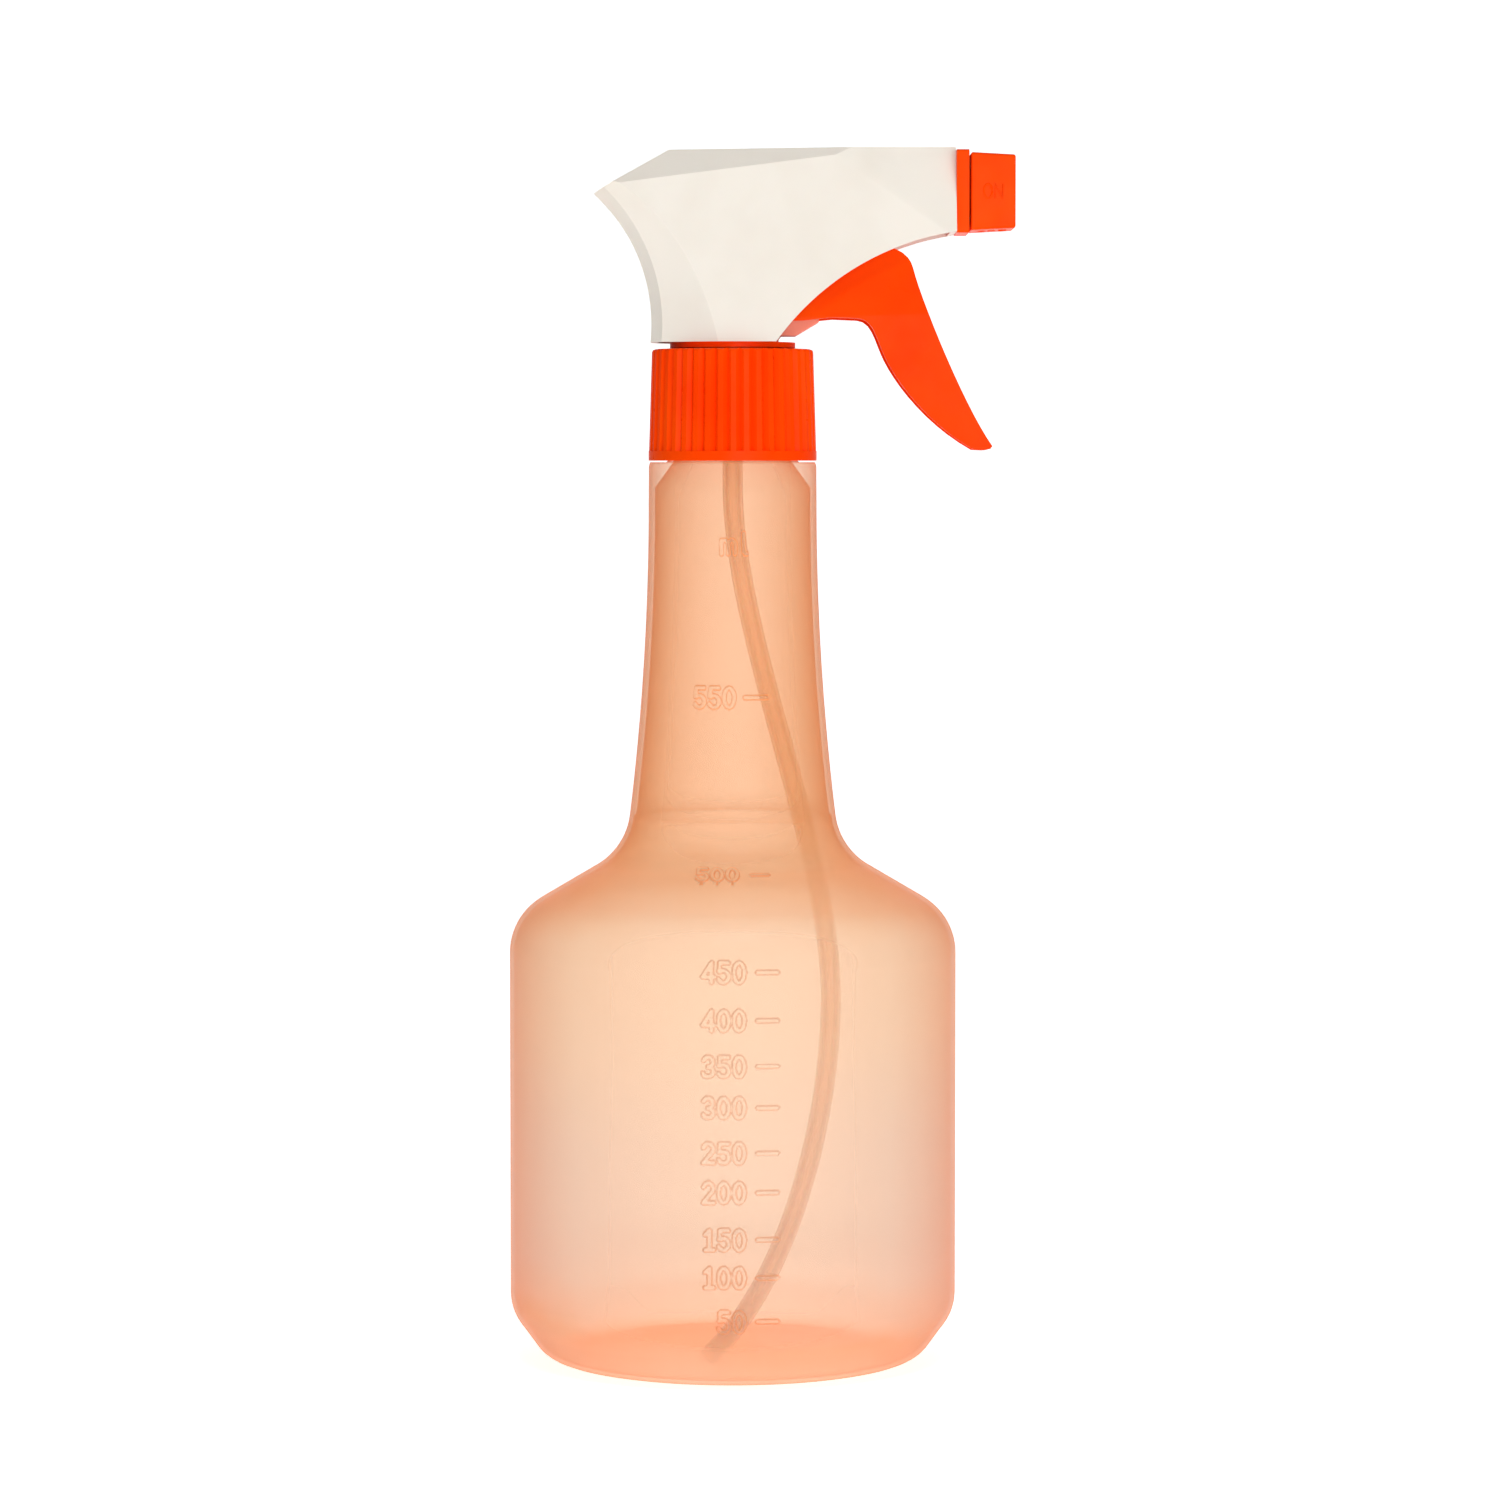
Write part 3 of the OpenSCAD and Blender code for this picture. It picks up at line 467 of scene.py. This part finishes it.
def bottle_shell():
    """The bottle as one closed thin wall with the scale raised on its front."""
    line = bottle_outline(INSET, INSET, 3)
    rough = resample(line, lambda s: 1.0)
    upright = rough[:, 1] > 1.0
    rows_at = [np.interp(h, rough[upright, 1], rough[upright, 2]) for h, _ in SCALE]
    rows_at.append(np.interp(UNIT_Z, rough[upright, 1], rough[upright, 2]))

    def step(s):
        return 0.17 if min(abs(s - r) for r in rows_at) < 3.2 else 1.0

    outer = resample(line, step)
    fine = np.radians(np.arange(-34, 34.01, 0.24))
    coarse = np.radians(np.arange(36, 324.01, 2.0))
    turn = np.r_[fine, coarse]
    across = outer[:, 0][:, None] * np.where(turn > math.pi, turn - 2 * math.pi, turn)[None]
    figures = raised(across, outer[:, 2], scale_strokes(outer))
    lift = figures
    # outward direction of the wall at each row
    slope = np.gradient(outer[:, :2], axis=0)
    slope /= np.linalg.norm(slope, axis=1)[:, None]
    out_r, out_z = slope[:, 1], -slope[:, 0]
    # a blow mould's parting line: a hair-thin ridge down both sides
    seam = np.exp(-((np.abs(np.abs(turn) - math.pi / 2)) / 0.006) ** 2) + np.exp(-((turn - 1.5 * math.pi) / 0.006) ** 2)
    lift = lift + 0.05 * seam[None]
    r = outer[:, 0][:, None] + out_r[:, None] * lift
    z = outer[:, 1][:, None] + out_z[:, None] * lift
    rings = [np.c_[r[i] * np.sin(turn), -r[i] * np.cos(turn), z[i]] for i in range(len(outer))]
    # the steep faces found here get the darker painted-shade material
    steep = np.hypot(*np.gradient(figures)) > 0.28 * MARK_RISE

    def ring(radius, level):
        return np.c_[radius * np.sin(turn), -radius * np.cos(turn), np.full(len(turn), level)]

    stand_in = FOOT_R - STAND_W
    under = [(stand_in, 0.0), (stand_in * 0.94, PUNT_H * 0.16), (stand_in * 0.8, PUNT_H * 0.4),
             (stand_in * 0.5, PUNT_H * 0.76), (stand_in * 0.2, PUNT_H * 0.96)]
    floor = [(a, b + BODY_WALL) for a, b in under]
    neck = [(NECK_R - INSET, LEDGE_Z - 0.9), (NECK_R - INSET - 0.1, LEDGE_Z - 0.4), (NECK_R - 0.5, LEDGE_Z), (ROOT_R + 0.3, LEDGE_Z),
            (ROOT_R, LEDGE_Z + 0.3), (ROOT_R, FINISH_Z - 0.4), (ROOT_R - 0.4, FINISH_Z), (MOUTH_R + 0.3, FINISH_Z),
            (MOUTH_R, FINISH_Z - 0.3), (MOUTH_R, LEDGE_Z + 1), (NECK_R - NECK_WALL, LEDGE_Z - 5)]
    inner = [(a, b) for a, b in bottle_outline(BODY_WALL, NECK_WALL, 1)][::-1]
    below = len(under)
    rings = [ring(a, b) for a, b in under[::-1]] + rings + [ring(a, b) for a, b in neck + inner + floor]
    count = len(turn)
    points = np.vstack(rings) * MM
    tip_out, tip_in = len(points), len(points) + 1
    points = np.vstack([points, [[0, 0, PUNT_H * MM], [0, 0, (PUNT_H + BODY_WALL) * MM]]])
    faces = []
    for i in range(len(rings) - 1):
        a = i * count
        faces += [(a + j, a + (j + 1) % count, a + count + (j + 1) % count, a + count + j) for j in range(count)]
    last = (len(rings) - 1) * count
    faces += [(tip_out, (j + 1) % count, j) for j in range(count)]
    faces += [(tip_in, last + j, last + (j + 1) % count) for j in range(count)]
    flanks = [(i + below) * count + j for i, j in zip(*np.nonzero(steep))]
    return points, faces, flanks


points, faces, flanks = bottle_shell()
bottle = mesh_piece("moulded_bottle", points, faces, "bottle")
bottle.data.materials.append(bottle_plastic)
# second material: painted shade on the steep flanks of the figures
bottle.data.materials.append(flank_painted_shade)
for face in flanks:
    bottle.data.polygons[face].material_index = 1
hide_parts("bottle")


def thread_ridge(base, crest, half_base, half_crest, z0, pitch=4.233, turns=1.3, steps=72):
    """The bottle's screw thread, a helical ridge that sinks into the wall at both ends."""
    points, faces = [], []
    count = round(steps * turns)
    for i in range(count + 1):
        a = 2 * math.pi * i / steps
        rise = base + (crest - base) * (0.05 + 0.95 * min(1, min(i, count - i) / 8))
        for r, dz in ((base, -half_base), (rise, -half_crest), (rise, half_crest), (base, half_base)):
            points.append((r * math.cos(a) * MM, r * math.sin(a) * MM, (z0 + pitch * i / steps + dz) * MM))
    for i in range(count):
        faces += [(4 * i + j, 4 * i + (j + 1) % 4, 4 * i + 4 + (j + 1) % 4, 4 * i + 4 + j) for j in range(4)]
    faces += [(3, 2, 1, 0), tuple(4 * count + j for j in range(4))]
    return points, faces


points, faces = thread_ridge(ROOT_R - 0.3, 13.8, 1.2, 0.5, FINISH_Z - 8)
thread = mesh_piece("bottle_thread", points, faces, "bottle", smooth=False)
thread.data.materials.append(bottle_plastic)


# ---- dip tube: one smooth bowed pipe ----
def bezier(a, b, c, d, steps):
    """Points on a cubic curve."""
    a, b, c, d = map(np.array, (a, b, c, d))
    return [
        (1 - t) ** 3 * a + 3 * (1 - t) ** 2 * t * b + 3 * (1 - t) * t * t * c + t**3 * d
        for t in (i / steps for i in range(steps + 1))
    ]


def pipe(path, outer, inner, sides):
    """An open-ended pipe round a path."""
    path = np.array(path)
    ahead = np.gradient(path, axis=0)
    ahead /= np.linalg.norm(ahead, axis=1)[:, None]
    side = np.cross(ahead, (0, 1, 0))
    side /= np.linalg.norm(side, axis=1)[:, None]
    up = np.cross(ahead, side)
    turn = [2 * math.pi * j / sides for j in range(sides)]
    points = []
    for p, s, u in zip(path, side, up):
        for r in (outer, inner):
            points += [p + r * math.cos(a) * s + r * math.sin(a) * u for a in turn]
    faces, n = [], sides
    for i in range(len(path) - 1):
        for j in range(n):
            k, a = (j + 1) % n, 2 * n * i
            faces.append((a + j, a + k, a + k + 2 * n, a + j + 2 * n))
            faces.append((a + n + k, a + n + j, a + j + 3 * n, a + k + 3 * n))
    end = 2 * n * (len(path) - 1)
    for j in range(n):
        k = (j + 1) % n
        faces.append((j, j + n, k + n, k))
        faces.append((end + j, end + k, end + k + n, end + j + n))
    return np.array(points) * MM, faces


TUBE_BOW = 19.3
tube_path = (
    [(0, 0, 196.9), (0, 0, 190), (0, 0, 180)]
    + bezier((0, 0, 172), (0, 0, 142), (TUBE_BOW, 0, 101), (TUBE_BOW, 0, 71), 60)
    + bezier((TUBE_BOW, 0, 71), (TUBE_BOW, 0, 45), (10, -8, 15), (-4.3, -29, 5.2), 60)[1:]
)
points, faces = pipe(tube_path, 1.97, 1.4, 32)
tube = mesh_piece("bowed_tube", points, faces, "sprayer")
tube.data.materials.append(tube_plastic)
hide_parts("dip_tube")


# ---- raised words on the four sides of the nozzle ----
NOZZLE_MID_X, NOZZLE_Z, NOZZLE_SIDE = 50.5, 228.75, 7.3
WORD_TALL, WORD_RISE = 5.2, 0.24


def raised_word(text, turned):
    """Half-round ridges along the strokes of a word, on the nozzle's side turned this far round its axis."""
    points, faces, sides = [], [], 8
    a = math.radians(turned)
    for line in lettering(text, WORD_TALL * 0.62, centre=0.0):
        line = [(x, y) for x, y in line]
        start = len(points)
        for k, (x, y) in enumerate(line):
            ahead = np.subtract(line[min(k + 1, len(line) - 1)], line[max(k - 1, 0)])
            ahead = ahead / max(np.linalg.norm(ahead), 1e-9)
            size = 0.12 if k in (0, len(line) - 1) else WORD_RISE
            for j in range(sides):
                t = 2 * math.pi * j / sides
                across, out = size * math.cos(t), size * math.sin(t)
                px, py = x - ahead[1] * across, y + ahead[0] * across
                flat = (px, -(NOZZLE_SIDE + out), py)
                points.append(
                    (
                        (NOZZLE_MID_X + flat[0]) * MM,
                        (flat[1] * math.cos(a) - flat[2] * math.sin(a)) * MM,
                        (NOZZLE_Z + flat[1] * math.sin(a) + flat[2] * math.cos(a)) * MM,
                    )
                )
        for k in range(len(line) - 1):
            for j in range(sides):
                p, q = start + k * sides + j, start + k * sides + (j + 1) % sides
                faces.append((p, q, q + sides, p + sides))
        faces.append(tuple(start + j for j in range(sides))[::-1])
        faces.append(tuple(start + (len(line) - 1) * sides + j for j in range(sides)))
    return points, faces


for number, (text, turned) in enumerate((("ON", 0), ("OFF", 90), ("ON", 180), ("OFF", 270))):
    points, faces = raised_word(text, turned)
    word = mesh_piece(f"nozzle_word_{number}", points, faces, "nozzle")
    word.data.materials.append(orange)


# ---- finishes and edge radii of the carried-over solids ----
FINISH = {
    "closure": (orange, 0.14),
    "pump_body": (orange, 0.15),
    "barrel_plug": (orange, 0.1),
    "nose_plate": (orange, 0.45),
    "nozzle": (orange, 0.5),
    "trigger": (orange, 0.6),
    "cylinder_ring": (orange, 0.1),
    "shroud": (white, 0.25),
    # the bracket's pale pink is painted light, for light let through thin orange plastic
    "cylinder_bracket": (backlit_orange, 0.2),
    "tube_holder": (natural, 0.1),
    "plunger": (natural, 0.15),
    "plunger_pin": (natural, 0.1),
    "outlet_valve": (natural, 0.08),
    "spinner": (natural, 0.06),
    "piston_seal": (liner, 0.05),
    "closure_gasket": (liner, 0.1),
    "nozzle_seal": (rubber, 0.0),
    "return_spring": (wire, 0.0),
    "outlet_spring": (wire, 0.0),
    "inlet_ball": (wire, 0.0),
}
for name, (material, radius) in FINISH.items():
    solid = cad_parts[name]
    solid.data.materials.clear()
    solid.data.materials.append(material)
    weld = solid.modifiers.new("weld", "WELD")
    weld.merge_threshold = 0.002 * MM
    if radius:
        edge = solid.modifiers.new("edge_radius", "BEVEL")
        edge.width = radius * MM
        edge.segments = 3
        edge.limit_method = "ANGLE"
        edge.angle_limit = math.radians(22)
        edge.use_clamp_overlap = True
        even = solid.modifiers.new("even_shading", "WEIGHTED_NORMAL")
        even.weight = 80
    else:
        crease = solid.modifiers.new("crease", "EDGE_SPLIT")
        crease.split_angle = math.radians(35)
    for polygon in solid.data.polygons:
        polygon.use_smooth = True


# ---- floor, lights, camera ----
def studio_floor():
    """A pale sheet that curves up behind the bottle."""
    profile = [(-3.0, 0.0)] + [(-0.2 + 0.35 * k, 0.0) for k in range(4)]
    bend = [(1.2 + 0.9 * math.sin(a), 0.9 - 0.9 * math.cos(a)) for a in (math.radians(6 * i) for i in range(16))]
    profile = profile + bend + [(2.1, 4.0)]
    points = [(x, y, z - 0.0002) for y, z in profile for x in (-4.0, 4.0)]
    faces = [(2 * i, 2 * i + 1, 2 * i + 3, 2 * i + 2) for i in range(len(profile) - 1)]
    mesh = bpy.data.meshes.new("studio_floor")
    mesh.from_pydata(points, [], faces)
    mesh.shade_smooth()
    made = bpy.data.objects.new("studio_floor", mesh)
    bpy.context.collection.objects.link(made)
    material, tree = blank("white_card")
    spot = in_mm(tree)
    fibre = put(tree, "ShaderNodeTexNoise", {"Vector": spot, "Scale": 0.02, "Detail": 2.0})
    tone = ramp(tree, fibre.outputs["Fac"], [(0.3, "#fafafa"), (0.7, "#fdfdfd")])
    side = put(tree, "ShaderNodeSeparateXYZ", {"Vector": spot}).outputs["X"]
    apart = put(tree, "ShaderNodeMath", {0: side}, operation="ABSOLUTE").outputs["Value"]
    card = put(
        tree,
        "ShaderNodeBsdfPrincipled",
        {
            "Base Color": tone,
            "Roughness": 0.9,
            "Emission Color": hex_linear("#ffffff"),
            "Emission Strength": band(tree, apart, 420.0, 800.0, 0.68, 0.0),
        },
    )
    put(tree, "ShaderNodeOutputMaterial", {"Surface": card.outputs["BSDF"]})
    mesh.materials.append(material)
    return made


studio_floor()


def softbox(name, place, aim, power, width, tall, tint="#ffffff"):
    lamp = bpy.data.lights.new(name, "AREA")
    lamp.shape = "RECTANGLE"
    lamp.size, lamp.size_y = width, tall
    lamp.energy = power
    lamp.color = hex_linear(tint)[:3]
    made = bpy.data.objects.new(name, lamp)
    made.location = place
    made.rotation_euler = (Vector(aim) - Vector(place)).to_track_quat("-Z", "Y").to_euler()
    bpy.context.collection.objects.link(made)
    return made


AIM = (0, 0, 0.15)
softbox("key_box", (0.35, -1.75, 0.02), AIM, 12.4, 0.8, 0.6)
softbox("fill_box", (0.9, -1.4, 0.3), AIM, 3.4, 0.8, 0.8)
softbox("high_box", (0.05, -0.75, 1.25), AIM, 4.2, 0.42, 0.16)

world = bpy.data.worlds.new("studio")
world.use_nodes = True
sky = next(n for n in world.node_tree.nodes if n.type == "BACKGROUND")
sky.inputs["Color"].default_value = hex_linear("#ffffff")
sky.inputs["Strength"].default_value = 0.26
bpy.context.scene.world = world

lens = bpy.data.cameras.new("camera")
lens.sensor_width = 36
lens.lens = 122.45
lens.clip_start = 0.01
lens.clip_end = 20
camera = bpy.data.objects.new("camera", lens)
camera.location = (0.0034, -1.0, 0.1765)
camera.rotation_euler = (math.radians(90 - 3.24), 0, 0)
bpy.context.collection.objects.link(camera)
bpy.context.scene.camera = camera
bpy.context.scene.view_settings.view_transform = "Standard"
